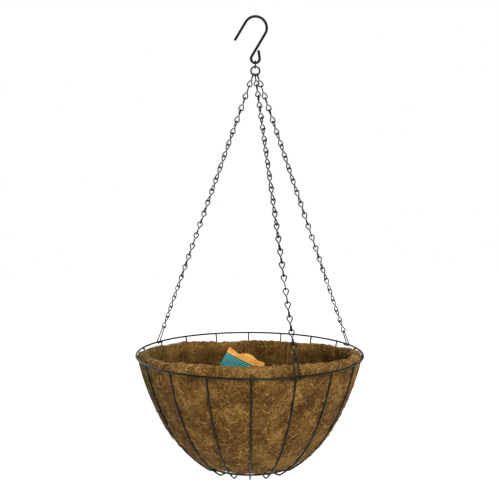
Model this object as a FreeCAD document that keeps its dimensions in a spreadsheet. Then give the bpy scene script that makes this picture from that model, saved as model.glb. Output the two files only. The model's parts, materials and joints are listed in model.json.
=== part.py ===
import FreeCAD, Part
import Sketcher
import math
import os

# Hanging basket: an S-hook, a link and a ring carry three jack chains, and wire
# clips hook the chains under the rim of a welded wire bowl with a coir liner.
# Millimetres.  The origin is the seat inside the hook's upper bend, where the
# hook rests on its bracket.  +Z is up and the front of the basket faces -Y.

V = FreeCAD.Vector
UP = V(0, 0, 1)

doc = FreeCAD.newDocument("hanging_basket")
sheet = doc.addObject("Spreadsheet::Sheet", "sizes")

SIZES = [
    # S-hook: lean is the shank's angle from vertical
    ("hook_wire", 3.5),
    ("hook_bend", 15.0),
    ("hook_turn", 180.0),
    ("hook_lean", 31.0),
    ("hook_tip_length", 28.0),
    ("hook_eye_bend", 5.7),
    ("hook_eye_sweep", 219.0),
    ("hook_eye_end", 10.0),
    # free play between two pieces of wire that hang in each other
    ("play", 0.15),
    # oval link under the hook
    ("link_wire", 1.8),
    ("link_bend", 3.4),
    ("link_straight", 2.9),
    # ring that gathers the three chains
    ("gather_wire", 2.2),
    ("gather_radius", 5.8),
    ("gather_spread", 30.0),
    # jack chain: a link is two loops at a right angle
    ("chain_wire", 1.6),
    ("chain_loop_width", 7.1),
    ("chain_link_length", 18.25),
    ("chain_links", 23),
    ("chain_segments", 3),
    # where the chains hook the rim: degrees from the front, + towards +X
    ("front_azimuth", 20.5),
    ("right_azimuth", 112.5),
    ("left_azimuth", -119.5),
    # hairpin clips between chain and rim
    ("clip_wire", 1.6),
    ("clip_bend", 2.3),
    ("clip_spread", 3.0),
    ("clip_length", 23.5),
    ("clip_heel", 1.7),
    ("clip_toe", 1.2),
    # rim, ribs and base ring of the bowl: climb is how far up the lower bend,
    # in degrees of it, the base ring is welded
    ("rim_radius", 151.2),
    ("rim_wire", 2.6),
    ("basket_shift", -6.5),
    ("rib_count", 18),
    ("rib_phase", 0.5),
    ("rib_wire", 2.2),
    ("rib_slope", 11.0),
    ("rib_upper_bend", 297.0),
    ("rib_upper_sweep", 19.0),
    ("rib_lower_bend", 183.0),
    ("rib_lower_sweep", 25.0),
    ("rib_foot_bend", 8.0),
    ("rib_foot", 6.0),
    ("base_wire", 2.4),
    ("base_climb", 3.5),
    ("weld_bite", 0.1),
    # coir liner: its top edge tilts, high at the front
    ("liner_wall", 9.5),
    ("liner_gap", 0.3),
    ("liner_blank", 30.0),
    ("liner_tilt", 4.2),
    ("lip_lean", 4.0),
    # care card behind the front lip
    ("card_width", 45.0),
    ("card_height", 70.0),
    ("card_thickness", 0.6),
    ("card_turn", 27.0),
    ("card_rise", 31.0),
    ("card_azimuth", -9.5),
    ("card_side", -3.0),
    ("card_lean", 14.7),
    ("card_gap", 7.5),
]

for row, (alias, value) in enumerate(SIZES, start=1):
    sheet.set("A%d" % row, alias)
    sheet.set("B%d" % row, str(value))
    sheet.setAlias("B%d" % row, alias)
doc.recompute()

# the alias of the place where each chain hooks the rim, which way the chain goes on
# the gather ring, and how many half turns it is twisted by
CHAINS = {
    "front": {"azimuth": "front_azimuth", "side": 0, "half_turns": 0},
    "right": {"azimuth": "right_azimuth", "side": 1, "half_turns": -1},
    "left": {"azimuth": "left_azimuth", "side": -1, "half_turns": 0},
}


def size(alias):
    return float(sheet.get(alias))


def heading(degrees):
    return V(math.cos(math.radians(degrees)), math.sin(math.radians(degrees)), 0)


def plane_of(body, role):
    for feature in body.Origin.OriginFeatures:
        if feature.Role == role:
            return feature


def new_sketch(body, name, role="XZ_Plane"):
    sketch = body.newObject("Sketcher::SketchObject", name)
    sketch.AttachmentSupport = [(plane_of(body, role), "")]
    sketch.MapMode = "FlatFace"
    return sketch


def bind(sketch, constraint, name, expression):
    index = sketch.addConstraint(constraint)
    sketch.renameConstraint(index, name)
    sketch.setExpression("Constraints." + name, expression)
    return index


def pin_down(sketch, geometry, vertex, x_expression, y_expression, point):
    """Holds one end of a sketch line at two distances from the sketch's origin."""
    across = Sketcher.Constraint("DistanceX", -1, 1, geometry, vertex, point.x)
    bind(sketch, across, "across%d" % geometry, x_expression)
    along = Sketcher.Constraint("DistanceY", -1, 1, geometry, vertex, point.y)
    bind(sketch, along, "along%d" % geometry, y_expression)


def measure(entry):
    """The expression and the value of an alias, or of a pair that already holds both."""
    if isinstance(entry, tuple):
        return entry
    return "sizes." + entry, size(entry)


def trace_wire(sketch, start, direction, steps):
    """Draws a bent wire's centre line as straights and bends, each tangent to the last.

    A step is ("straight", length) or ("bend", radius, sweep, side), where each measure
    is an alias or a pair, and side is +1 for a bend to the left of the wire's heading
    and -1 for one to the right.
    """
    point = V(*start, 0)
    angle = direction
    last = None
    for step in steps:
        if step[0] == "straight":
            text, length = measure(step[1])
            end = point + heading(angle) * length
            index = sketch.addGeometry(Part.LineSegment(point, end))
            reach = Sketcher.Constraint("Distance", index, length)
            bind(sketch, reach, "straight%d" % index, text)
            first, second = 1, 2
        else:
            radius_text, radius = measure(step[1])
            sweep_text, sweep = measure(step[2])
            side = step[3]
            centre = point + heading(angle + 90 * side) * radius
            turned = angle + sweep * side
            end = centre - heading(turned + 90 * side) * radius
            low, high = sorted((angle - 90 * side, turned - 90 * side))
            circle = Part.Circle(centre, UP, radius)
            arc = Part.ArcOfCircle(circle, math.radians(low), math.radians(high))
            index = sketch.addGeometry(arc)
            bend = Sketcher.Constraint("Radius", index, radius)
            bind(sketch, bend, "radius%d" % index, radius_text)
            swept = Sketcher.Constraint("Angle", index, math.radians(sweep))
            bind(sketch, swept, "sweep%d" % index, sweep_text)
            first, second = (1, 2) if side > 0 else (2, 1)
            angle = turned
        if last is not None:
            joined = Sketcher.Constraint("Tangent", last[0], last[1], index, first)
            sketch.addConstraint(joined)
        last = (index, second)
        point = end


def wire_body(label, wire_alias, start, direction, steps):
    """A round wire bent in its own XZ plane: a path sketch, a round section and a pipe."""
    body = doc.addObject("PartDesign::Body", label)
    body.Label = label
    path = new_sketch(body, label + "_path")
    trace_wire(path, start, direction, steps)
    section = body.newObject("Sketcher::SketchObject", label + "_section")
    section.AttachmentSupport = [(path, "Edge1")]
    section.MapMode = "NormalToEdge"
    round_wire = section.addGeometry(Part.Circle(V(0, 0, 0), UP, size(wire_alias) / 2))
    section.addConstraint(Sketcher.Constraint("Coincident", round_wire, 3, -1, 1))
    across = Sketcher.Constraint("Diameter", round_wire, size(wire_alias))
    bind(section, across, "across", "sizes." + wire_alias)
    pipe = body.newObject("PartDesign::AdditivePipe", label + "_pipe")
    pipe.Profile = (section, [""])
    pipe.Spine = (path, [])
    return body, path


# S-hook.  The shank is as long as it takes to bring the eye straight below the seat.

hook_bend_centre = V(0, -(size("hook_bend") - size("hook_wire") / 2), 0)
hook_normal = heading(90 - size("hook_lean") + 90)
hook_start = hook_bend_centre + hook_normal * size("hook_bend")
hook_start -= heading(90 - size("hook_lean")) * size("hook_tip_length")
hook_rise = math.tan(math.radians(size("hook_lean")))
hook_shank = ("(sizes.hook_bend + sizes.hook_eye_bend) / tan(sizes.hook_lean * 1deg)",
              (size("hook_bend") + size("hook_eye_bend")) / hook_rise)

hook, hook_path = wire_body("hook", "hook_wire", (hook_start.x, hook_start.y),
                            90 - size("hook_lean"), [
                                ("straight", "hook_tip_length"),
                                ("bend", "hook_bend", "hook_turn", -1),
                                ("straight", hook_shank),
                                ("bend", "hook_eye_bend", "hook_eye_sweep", 1),
                                ("straight", "hook_eye_end"),
                            ])
seat_x = "-sizes.hook_bend * cos(sizes.hook_lean * 1deg)"
seat_x += " - sizes.hook_tip_length * sin(sizes.hook_lean * 1deg)"
seat_y = "sizes.hook_wire / 2 - sizes.hook_bend + sizes.hook_bend * sin(sizes.hook_lean * 1deg)"
seat_y += " - sizes.hook_tip_length * cos(sizes.hook_lean * 1deg)"
pin_down(hook_path, 0, 1, seat_x, seat_y, hook_start)
lean = Sketcher.Constraint("Angle", 0, math.radians(90 - size("hook_lean")))
bind(hook_path, lean, "lean", "90 - sizes.hook_lean")

lean_angle = math.radians(size("hook_lean"))
eye_drop = (size("hook_bend") + size("hook_eye_bend")) * math.sin(lean_angle)
eye_drop += hook_shank[1] * math.cos(lean_angle) + size("hook_eye_bend")
hook_eye = V(0, 0, hook_bend_centre.y - eye_drop)


def torus(name, wire_alias, radius_expression, sweep=360):
    ring = doc.addObject("Part::Torus", name)
    ring.Label = name
    ring.setExpression("Radius1", radius_expression)
    ring.setExpression("Radius2", "sizes.%s / 2" % wire_alias)
    ring.Angle3 = sweep
    return ring


# Oval link.  It hangs in the hook's eye at a right angle to it, in the YZ plane.

link_top = hook_eye + UP * ((size("hook_wire") + size("link_wire")) / 2 + size("play"))
link_bottom = link_top - UP * (2 * size("link_bend") + size("link_straight"))
upper_bow_centre = link_top - UP * size("link_bend")
lower_bow_centre = link_bottom + UP * size("link_bend")
upright = FreeCAD.Rotation(V(0, 1, 0), V(0, 0, 1), V(1, 0, 0), "ZXY")
link_parts = []
for name, centre, flip in (("upper", upper_bow_centre, 0), ("lower", lower_bow_centre, 180)):
    bow = torus("link_%s_bow" % name, "link_wire", "sizes.link_bend", 180)
    bow.Placement = FreeCAD.Placement(centre, FreeCAD.Rotation(V(1, 0, 0), flip) * upright)
    link_parts.append(bow)
for name, side in (("front", -1), ("back", 1)):
    leg = doc.addObject("Part::Cylinder", "link_%s_leg" % name)
    leg.setExpression("Radius", "sizes.link_wire / 2")
    leg.setExpression("Height", "sizes.link_straight")
    leg.Placement.Base = lower_bow_centre + V(0, side * size("link_bend"), 0)
    link_parts.append(leg)
top_link = doc.addObject("Part::MultiFuse", "top_link")
top_link.Label = "top_link"
top_link.Shapes = link_parts

# Gather ring.  It hangs in the link in the XZ plane and carries the three chains.

ring_play = (size("link_wire") + size("gather_wire")) / 2 + size("play")
gather_centre = link_bottom + UP * (ring_play - size("gather_radius"))
gather_ring = torus("gather_ring", "gather_wire", "sizes.gather_radius")
gather_ring.Placement = FreeCAD.Placement(gather_centre, FreeCAD.Rotation(V(1, 0, 0), 90))


# The chains' lines.  A chain is straight from its place on the gather ring to its
# clip, whose legs pass outside the rim wire with their feet under it.  The rim's
# height is the one that the front chain and its clip reach.

def rim_direction(azimuth):
    angle = math.radians(azimuth)
    return V(math.sin(angle), -math.cos(angle), 0)


def rim_tangent(azimuth):
    angle = math.radians(azimuth)
    return V(math.cos(angle), math.sin(angle), 0)


def ring_place(side):
    angle = math.radians(size("gather_spread") * side)
    return gather_centre + V(math.sin(angle), 0, -math.cos(angle)) * size("gather_radius")


def ring_wire_direction(side):
    angle = math.radians(size("gather_spread") * side)
    return V(math.cos(angle), 0, math.sin(angle))


link_pitch = size("chain_link_length") - size("chain_wire") - size("play")
first_top = -((size("gather_wire") + size("chain_wire")) / 2 + size("play"))
clip_hold = (size("chain_wire") + size("clip_wire")) / 2 + size("play")
clip_top = first_top + size("chain_links") * link_pitch + size("chain_wire") + size("play")
clip_top -= clip_hold
rim_offset = (size("rim_wire") + size("clip_wire")) / 2 + size("play")

front = CHAINS["front"]
front_rim = rim_direction(size(front["azimuth"])) * size("rim_radius")
front_rim.x += size("basket_shift")
front_reach = clip_top + size("clip_length") - rim_offset
front_across = front_rim - ring_place(front["side"])
front_across.z = 0
front_drop = math.sqrt(front_reach ** 2 + rim_offset ** 2 - front_across.Length ** 2)
rim_height = ring_place(front["side"]).z - front_drop
basket_centre = V(size("basket_shift"), 0, rim_height)


def chain_line(chain):
    """A chain's frame: its start on the ring, direction, tangent, outward and clip length."""
    start = ring_place(chain["side"])
    azimuth = size(chain["azimuth"])
    hooked = basket_centre + rim_direction(azimuth) * size("rim_radius")
    span = hooked - start
    reach = math.sqrt(span.Length ** 2 - rim_offset ** 2)
    along = span.normalize()
    tangent = rim_tangent(azimuth)
    outward = tangent.cross(along).normalize()
    if outward.dot(rim_direction(azimuth)) < 0:
        outward = outward * -1
    tilt = math.atan2(rim_offset, reach)
    down = along * math.cos(tilt) + outward * math.sin(tilt)
    outward = outward * math.cos(tilt) - along * math.sin(tilt)
    tangent = outward.cross(down)
    return start, down, tangent, outward, reach + rim_offset - clip_top


# Bowl frame: a rim ring, ribs welded inside it, and a base ring on the ribs' feet.

rim_ring = torus("rim_ring", "rim_wire", "sizes.rim_radius")
rim_ring.Placement.Base = basket_centre

rib_top_radius = "(sizes.rim_radius - (sizes.rim_wire + sizes.rib_wire) / 2 + sizes.weld_bite)"
rib_start = size("rim_radius") - (size("rim_wire") + size("rib_wire")) / 2 + size("weld_bite")
rib_bends_sweep = size("rib_upper_sweep") + size("rib_lower_sweep")
foot_sweep = ("90 - sizes.rib_slope - sizes.rib_upper_sweep - sizes.rib_lower_sweep",
              90 - size("rib_slope") - rib_bends_sweep)

for number in range(int(size("rib_count"))):
    label = "rib_%02d" % (number + 1)
    rib, rib_path = wire_body(label, "rib_wire", (rib_start, 0), 270 - size("rib_slope"), [
        ("bend", "rib_upper_bend", "rib_upper_sweep", -1),
        ("bend", "rib_lower_bend", "rib_lower_sweep", -1),
        ("bend", "rib_foot_bend", foot_sweep, -1),
        ("straight", "rib_foot"),
    ])
    pin_down(rib_path, 0, 2, rib_top_radius, "0 * sizes.rib_slope", V(rib_start, 0, 0))
    rib_path.addConstraint(Sketcher.Constraint("Horizontal", 3))
    azimuth = size("rib_phase") + number * 360 / size("rib_count")
    rib.Placement = FreeCAD.Placement(basket_centre, FreeCAD.Rotation(UP, azimuth - 90))


# The base ring is welded inside the ribs, a little above the end of their lower bend.
# Angles are from vertical: at the rim, between the two bends, and at the weld.

top_slope = math.radians(size("rib_slope"))
middle_slope = top_slope + math.radians(size("rib_upper_sweep"))
weld_slope = middle_slope + math.radians(size("rib_lower_sweep") - size("base_climb"))
weld_offset = (size("rib_wire") + size("base_wire")) / 2 - size("weld_bite")
base_radius = rib_start - size("rib_upper_bend") * (math.cos(top_slope) - math.cos(middle_slope))
base_radius -= size("rib_lower_bend") * (math.cos(middle_slope) - math.cos(weld_slope))
base_radius -= weld_offset * math.cos(weld_slope)
base_drop = size("rib_upper_bend") * (math.sin(middle_slope) - math.sin(top_slope))
base_drop += size("rib_lower_bend") * (math.sin(weld_slope) - math.sin(middle_slope))
base_drop -= weld_offset * math.sin(weld_slope)

slope_texts = {"top": "sizes.rib_slope * 1deg",
               "middle": "(sizes.rib_slope + sizes.rib_upper_sweep) * 1deg",
               "weld": "(sizes.rib_slope + sizes.rib_upper_sweep"
                       " + sizes.rib_lower_sweep - sizes.base_climb) * 1deg",
               "offset": "((sizes.rib_wire + sizes.base_wire) / 2 - sizes.weld_bite)",
               "start": rib_top_radius}
base_radius_text = ("%(start)s - sizes.rib_upper_bend * (cos(%(top)s) - cos(%(middle)s))"
                    " - sizes.rib_lower_bend * (cos(%(middle)s) - cos(%(weld)s))"
                    " - %(offset)s * cos(%(weld)s)") % slope_texts
base_drop_text = ("(sizes.rib_upper_bend * (sin(%(middle)s) - sin(%(top)s))"
                  " + sizes.rib_lower_bend * (sin(%(weld)s) - sin(%(middle)s))"
                  " - %(offset)s * sin(%(weld)s))") % slope_texts
base_ring = torus("base_ring", "base_wire", base_radius_text)
base_ring.Placement.Base = basket_centre - UP * base_drop


# Liner.  Its floor rests on the base ring.  One profile, inset from the ribs, is
# revolved for the outside and again, inset by the wall, for the hollow.  The blank is
# then trimmed at a tilt.

def bowl_profile(sketch, inset, floor):
    """Half a bowl against the axis: lip, two bends that follow the ribs, and a floor.

    inset and floor are pairs of an expression and its value.
    """
    slope = math.radians(size("rib_slope"))
    gap = inset[1]
    start = V(rib_start - gap * math.cos(slope), gap * math.sin(slope), 0)
    rise = size("liner_blank") - start.y
    lip = V(start.x - rise * math.tan(math.radians(size("lip_lean"))), size("liner_blank"), 0)
    turned = 180 - size("rib_slope")
    upper_radius = size("rib_upper_bend") - gap
    upper_centre = start + heading(turned) * upper_radius
    turned -= size("rib_upper_sweep")
    middle = upper_centre - heading(turned) * upper_radius
    lower_radius = size("rib_lower_bend") - gap
    lower_centre = middle + heading(turned) * lower_radius
    floor_angle = math.asin((floor[1] - lower_centre.y) / lower_radius)
    foot_x = lower_centre.x + lower_radius * math.cos(floor_angle)

    upper = sketch.addGeometry(Part.ArcOfCircle(
        Part.Circle(upper_centre, UP, upper_radius),
        math.radians(-size("rib_slope") - size("rib_upper_sweep")), -slope))
    lower = sketch.addGeometry(Part.ArcOfCircle(
        Part.Circle(lower_centre, UP, lower_radius),
        floor_angle, math.radians(turned - 180)))
    foot = V(foot_x, floor[1], 0)
    corner = V(0, floor[1], 0)
    crown = V(0, size("liner_blank"), 0)
    side = sketch.addGeometry(Part.LineSegment(start, lip))
    base = sketch.addGeometry(Part.LineSegment(foot, corner))
    axis = sketch.addGeometry(Part.LineSegment(corner, crown))
    top = sketch.addGeometry(Part.LineSegment(crown, lip))

    slope_text = "sizes.rib_slope * 1deg"
    pin_down(sketch, upper, 2,
             "%s - (%s) * cos(%s)" % (rib_top_radius, inset[0], slope_text),
             "(%s) * sin(%s)" % (inset[0], slope_text), start)
    for index, name in ((upper, "rib_upper"), (lower, "rib_lower")):
        bend = Sketcher.Constraint("Radius", index, size(name + "_bend") - gap)
        bind(sketch, bend, name, "sizes.%s_bend - (%s)" % (name, inset[0]))
    swept = Sketcher.Constraint("Angle", upper, math.radians(size("rib_upper_sweep")))
    bind(sketch, swept, "sweep", "sizes.rib_upper_sweep")
    sketch.addConstraint(Sketcher.Constraint("Coincident", upper, 2, side, 1))
    sketch.addConstraint(Sketcher.Constraint("Tangent", lower, 2, upper, 1))
    leant = Sketcher.Constraint("Angle", side, math.radians(90 + size("lip_lean")))
    bind(sketch, leant, "lean", "90 + sizes.lip_lean")
    centred = Sketcher.Constraint("DistanceY", -1, 1, upper, 3, upper_centre.y)
    bind(sketch, centred, "upper_centre", "sizes.rib_upper_bend * sin(%s)" % slope_text)
    high = Sketcher.Constraint("DistanceY", -1, 1, side, 2, size("liner_blank"))
    bind(sketch, high, "blank", "sizes.liner_blank")
    low = Sketcher.Constraint("DistanceY", -1, 1, lower, 1, floor[1])
    bind(sketch, low, "floor", floor[0])
    sketch.addConstraint(Sketcher.Constraint("Coincident", lower, 1, base, 1))
    sketch.addConstraint(Sketcher.Constraint("Horizontal", base))
    sketch.addConstraint(Sketcher.Constraint("PointOnObject", base, 2, -2))
    sketch.addConstraint(Sketcher.Constraint("Coincident", base, 2, axis, 1))
    sketch.addConstraint(Sketcher.Constraint("Vertical", axis))
    sketch.addConstraint(Sketcher.Constraint("Coincident", axis, 2, top, 1))
    sketch.addConstraint(Sketcher.Constraint("Horizontal", top))
    sketch.addConstraint(Sketcher.Constraint("Coincident", top, 2, side, 2))


liner = doc.addObject("PartDesign::Body", "liner")
liner.Label = "liner"
outer_inset = ("sizes.rib_wire / 2 + sizes.liner_gap", size("rib_wire") / 2 + size("liner_gap"))
inner_inset = (outer_inset[0] + " + sizes.liner_wall", outer_inset[1] + size("liner_wall"))
floor_level = size("base_wire") / 2 + size("liner_gap") - base_drop
floor_text = "sizes.base_wire / 2 + sizes.liner_gap - " + base_drop_text
outside = new_sketch(liner, "liner_outside")
bowl_profile(outside, outer_inset, (floor_text, floor_level))
pressed = liner.newObject("PartDesign::Revolution", "liner_pressed")
pressed.Profile = outside
pressed.ReferenceAxis = (outside, ["V_Axis"])
pressed.Angle = 360
doc.recompute()
blank_volume = liner.Shape.Volume
inside = new_sketch(liner, "liner_inside")
bowl_profile(inside, inner_inset, (floor_text + " + sizes.liner_wall",
                                   floor_level + size("liner_wall")))
hollow = liner.newObject("PartDesign::Groove", "liner_hollow")
hollow.Profile = inside
hollow.ReferenceAxis = (inside, ["V_Axis"])
hollow.Angle = 360
doc.recompute()
hollow_volume = liner.Shape.Volume

trim = new_sketch(liner, "liner_trim", "YZ_Plane")
tilt = math.tan(math.radians(size("liner_tilt")))
reach = 2 * size("rim_radius")
trim_corners = [V(-reach, reach * tilt, 0), V(reach, -reach * tilt, 0),
                V(reach, 2 * size("liner_blank"), 0), V(-reach, 2 * size("liner_blank"), 0)]
for number in range(4):
    trim.addGeometry(Part.LineSegment(trim_corners[number], trim_corners[(number + 1) % 4]))
for number in range(4):
    trim.addConstraint(Sketcher.Constraint("Coincident", number, 2, (number + 1) % 4, 1))
reach_text = "2 * sizes.rim_radius"
rise_text = "2 * sizes.rim_radius * tan(sizes.liner_tilt * 1deg)"
pin_down(trim, 0, 1, "-" + reach_text, rise_text, trim_corners[0])
pin_down(trim, 1, 1, reach_text, "-" + rise_text, trim_corners[1])
pin_down(trim, 2, 1, reach_text, "2 * sizes.liner_blank", trim_corners[2])
pin_down(trim, 3, 1, "-" + reach_text, "2 * sizes.liner_blank", trim_corners[3])
trimmed = liner.newObject("PartDesign::Pocket", "liner_trimmed")
trimmed.Profile = trim
trimmed.Midplane = True
trimmed.Type = "Length"
trimmed.setExpression("Length", "4 * sizes.rim_radius")
liner.Placement.Base = basket_centre


# Care card, a thin sheet standing behind the front lip, leaning with the wall.

card = doc.addObject("Part::Box", "care_card")
card.Label = "care_card"
card.setExpression("Length", "sizes.card_width")
card.setExpression("Width", "sizes.card_thickness")
card.setExpression("Height", "sizes.card_height")
card_stand = rib_start - inner_inset[1] - size("card_gap")
turned = FreeCAD.Placement(V(0, 0, 0), FreeCAD.Rotation(V(0, 1, 0), size("card_turn")))
hung = FreeCAD.Placement(V(0, 0, -size("card_height")), FreeCAD.Rotation())
leaned = FreeCAD.Placement(V(size("card_side"), -card_stand, size("card_rise")),
                           FreeCAD.Rotation(V(1, 0, 0), size("card_lean")))
faced = FreeCAD.Placement(basket_centre, FreeCAD.Rotation(UP, size("card_azimuth")))
card.Placement = faced * leaned * turned * hung


# Clips: a hairpin whose two legs end in feet that turn in under the rim wire.

def swept_wire(edges, wire):
    """A round wire along edges that run on from each other."""
    path = Part.Wire(edges)
    start = path.OrderedEdges[0].valueAt(path.OrderedEdges[0].FirstParameter)
    along = path.OrderedEdges[0].tangentAt(path.OrderedEdges[0].FirstParameter)
    section = Part.Wire(Part.makeCircle(wire / 2, start, along))
    return path.makePipeShell([section], True, True)


def clip_shape(line):
    start, down, tangent, outward, length = line
    spread = math.radians(size("clip_spread"))
    bend, heel = size("clip_bend"), size("clip_heel")
    foot_span = rim_offset + size("rim_wire") / 2 + size("clip_toe")
    centre = start + down * (clip_top + bend)
    leg_length = (length - bend + bend * math.sin(spread)) / math.cos(spread) - heel
    sides = []
    for side in (1, -1):
        leg = tangent * (side * math.sin(spread)) + down * math.cos(spread)
        shoulder = centre + tangent * (side * bend * math.cos(spread))
        shoulder -= down * (bend * math.sin(spread))
        ankle = shoulder + leg * leg_length
        heel_centre = ankle - outward * heel
        middle = heel_centre + (leg + outward) * (heel / math.sqrt(2))
        sole = heel_centre + leg * heel
        toe = sole - outward * (foot_span - heel)
        sides.append((shoulder, ankle, middle, sole, toe))
    right, left = sides
    edges = [
        Part.LineSegment(right[4], right[3]).toShape(),
        Part.Arc(right[3], right[2], right[1]).toShape(),
        Part.LineSegment(right[1], right[0]).toShape(),
        Part.Arc(right[0], centre - down * bend, left[0]).toShape(),
        Part.LineSegment(left[0], left[1]).toShape(),
        Part.Arc(left[1], left[2], left[3]).toShape(),
        Part.LineSegment(left[3], left[4]).toShape(),
    ]
    return swept_wire(edges, size("clip_wire"))


# Chains: every link is the same figure of eight, and each chain turns evenly from
# the ring, where its first loop crosses the ring's wire, to its clip.

def link_shape():
    half = size("chain_link_length") / 2
    bend = (size("chain_loop_width") - size("chain_wire")) / 2
    centre = half - bend
    taper = math.asin(bend / centre)
    run = centre * math.cos(taper)
    waist = V(0, 0, 0)
    near = V(math.sin(taper), 0, math.cos(taper)) * run
    shoulder = V(math.sin(math.pi / 4), 0, math.cos(math.pi / 4)) * bend + V(0, 0, centre)
    side = swept_wire([
        Part.LineSegment(waist, near).toShape(),
        Part.Arc(near, shoulder, V(0, 0, half)).toShape(),
    ], size("chain_wire"))
    halves = []
    for flip, turn in ((0, 0), (0, 180), (180, 90), (180, 270)):
        copy = side.copy()
        copy.rotate(waist, V(1, 0, 0), flip)
        copy.rotate(waist, UP, turn)
        halves.append(copy)
    knot = Part.makeSphere(size("chain_wire") * 0.6, waist)
    return halves[0].multiFuse(halves[1:] + [knot]).removeSplitter()


def link_turn(chain, line, number):
    """The angle of a link's upper loop from the chain's tangent, about its line."""
    start, down, tangent, outward, length = line
    wire = ring_wire_direction(chain["side"])
    across = math.degrees(math.atan2(wire.dot(outward), wire.dot(tangent)))
    first = (across + 90) % 180 + 180 * chain["half_turns"]
    share = (size("chain_links") - number) / (size("chain_links") - 1)
    return first * share


def link_placement(chain, line, number):
    start, down, tangent, outward, length = line
    turn = math.radians(link_turn(chain, line, number))
    across = tangent * math.cos(turn) + outward * math.sin(turn)
    middle = first_top + (number - 1) * link_pitch + size("chain_link_length") / 2
    rotation = FreeCAD.Rotation(across, (down * -1).cross(across), down * -1, "ZXY")
    return FreeCAD.Placement(start + down * middle, rotation)


def segment_links(segment):
    """The numbers of the links in one segment, counted from the gather ring."""
    links, segments = int(size("chain_links")), int(size("chain_segments"))
    each = math.ceil(links / segments)
    return range(segment * each + 1, min((segment + 1) * each, links) + 1)


link = link_shape()
for name, chain in CHAINS.items():
    line = chain_line(chain)
    for segment in range(int(size("chain_segments"))):
        solids = []
        for number in segment_links(segment):
            copy = link.copy()
            copy.Placement = link_placement(chain, line, number)
            solids.append(copy)
        piece = doc.addObject("Part::Feature", "%s_chain_%d" % (name, segment + 1))
        piece.Label = "%s_chain_%d" % (name, segment + 1)
        piece.Shape = Part.makeCompound(solids)
    clip = doc.addObject("Part::Feature", name + "_clip")
    clip.Label = name + "_clip"
    clip.Shape = clip_shape(line)


# Every sub-part is checked before any is written.

doc.recompute()
labels = ["hook", "top_link", "gather_ring", "rim_ring", "base_ring", "liner", "care_card"]
labels += ["rib_%02d" % (number + 1) for number in range(int(size("rib_count")))]
for name in CHAINS:
    labels += ["%s_chain_%d" % (name, segment + 1)
               for segment in range(int(size("chain_segments")))]
    labels.append(name + "_clip")
for item in doc.Objects:
    if "Invalid" in item.State or "Error" in item.State:
        raise RuntimeError("%s did not recompute" % item.Name)
if not blank_volume > hollow_volume > liner.Shape.Volume > 0:
    raise RuntimeError("the liner's hollow or its trim cut nothing")
for label in labels:
    shape = doc.getObject(label).Shape
    if shape.isNull() or not shape.isValid() or not shape.Solids:
        raise RuntimeError("%s has no valid solid" % label)

os.makedirs("parts", exist_ok=True)
for label in labels:
    doc.getObject(label).Shape.exportStep("parts/%s.step" % label)
print("%d sub-parts, rim at %.1f mm, base ring at %.1f mm, radius %.1f mm"
      % (len(labels), rim_height, rim_height - base_drop, base_radius))
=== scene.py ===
import json
import math
import bpy
import numpy as np
from mathutils import Matrix, Vector


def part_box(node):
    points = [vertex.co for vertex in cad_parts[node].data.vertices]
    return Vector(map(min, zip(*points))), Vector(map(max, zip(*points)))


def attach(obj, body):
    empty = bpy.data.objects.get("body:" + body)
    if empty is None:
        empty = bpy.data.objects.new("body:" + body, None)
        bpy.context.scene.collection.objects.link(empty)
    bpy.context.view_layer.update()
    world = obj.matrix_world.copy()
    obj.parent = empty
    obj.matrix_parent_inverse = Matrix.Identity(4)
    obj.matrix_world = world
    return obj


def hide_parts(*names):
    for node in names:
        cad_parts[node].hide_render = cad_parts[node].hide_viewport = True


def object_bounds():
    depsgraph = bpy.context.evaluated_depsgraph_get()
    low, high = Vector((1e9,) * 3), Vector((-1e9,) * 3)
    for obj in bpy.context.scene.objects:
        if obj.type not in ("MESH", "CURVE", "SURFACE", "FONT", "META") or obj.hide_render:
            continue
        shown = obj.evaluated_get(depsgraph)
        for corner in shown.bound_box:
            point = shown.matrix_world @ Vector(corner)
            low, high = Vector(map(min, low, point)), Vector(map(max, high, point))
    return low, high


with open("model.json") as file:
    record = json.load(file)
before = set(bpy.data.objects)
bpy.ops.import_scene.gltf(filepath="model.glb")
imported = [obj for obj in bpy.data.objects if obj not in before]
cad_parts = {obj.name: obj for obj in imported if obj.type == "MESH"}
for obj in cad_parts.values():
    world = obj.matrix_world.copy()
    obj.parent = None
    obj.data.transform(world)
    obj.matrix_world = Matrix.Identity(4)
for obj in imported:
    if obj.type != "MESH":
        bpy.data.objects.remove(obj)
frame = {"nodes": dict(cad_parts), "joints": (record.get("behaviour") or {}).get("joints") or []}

cad_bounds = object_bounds()
MM = 0.001


# The hanging basket is seen from the front and a little above its rim, the way it
# hangs at eye height.  The camera's place is measured from the rim ring's centre.
rim_low, rim_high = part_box("rim_ring")
rim_centre = np.array((rim_low + rim_high) / 2)
eye_offset = np.array((-0.0043, -0.8537, 0.1744))
eye_pitch, eye_yaw, eye_roll = math.radians(2.457), math.radians(0.29), math.radians(0.136)
sight = Vector((math.sin(eye_yaw) * math.cos(eye_pitch),
                math.cos(eye_yaw) * math.cos(eye_pitch), -math.sin(eye_pitch)))
level = sight.cross(Vector((0, 0, 1))).normalized()
upright = level.cross(sight)
right = level * math.cos(eye_roll) + upright * math.sin(eye_roll)
camera = bpy.data.objects.new("camera", bpy.data.cameras.new("camera"))
camera.data.sensor_width = 36
camera.data.lens = 45.8
camera.matrix_world = Matrix.Translation(Vector(rim_centre + eye_offset)) @ Matrix(
    (right, right.cross(sight), sight * -1)).transposed().to_4x4()
bpy.context.scene.collection.objects.link(camera)
bpy.context.scene.camera = camera


# A plain pale floor lies well below the basket, under a white sky.  A wide soft sun
# stands high in front, a weaker one behind, and a small light in front adds highlights.
bpy.context.scene.view_settings.view_transform = "Standard"


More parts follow.
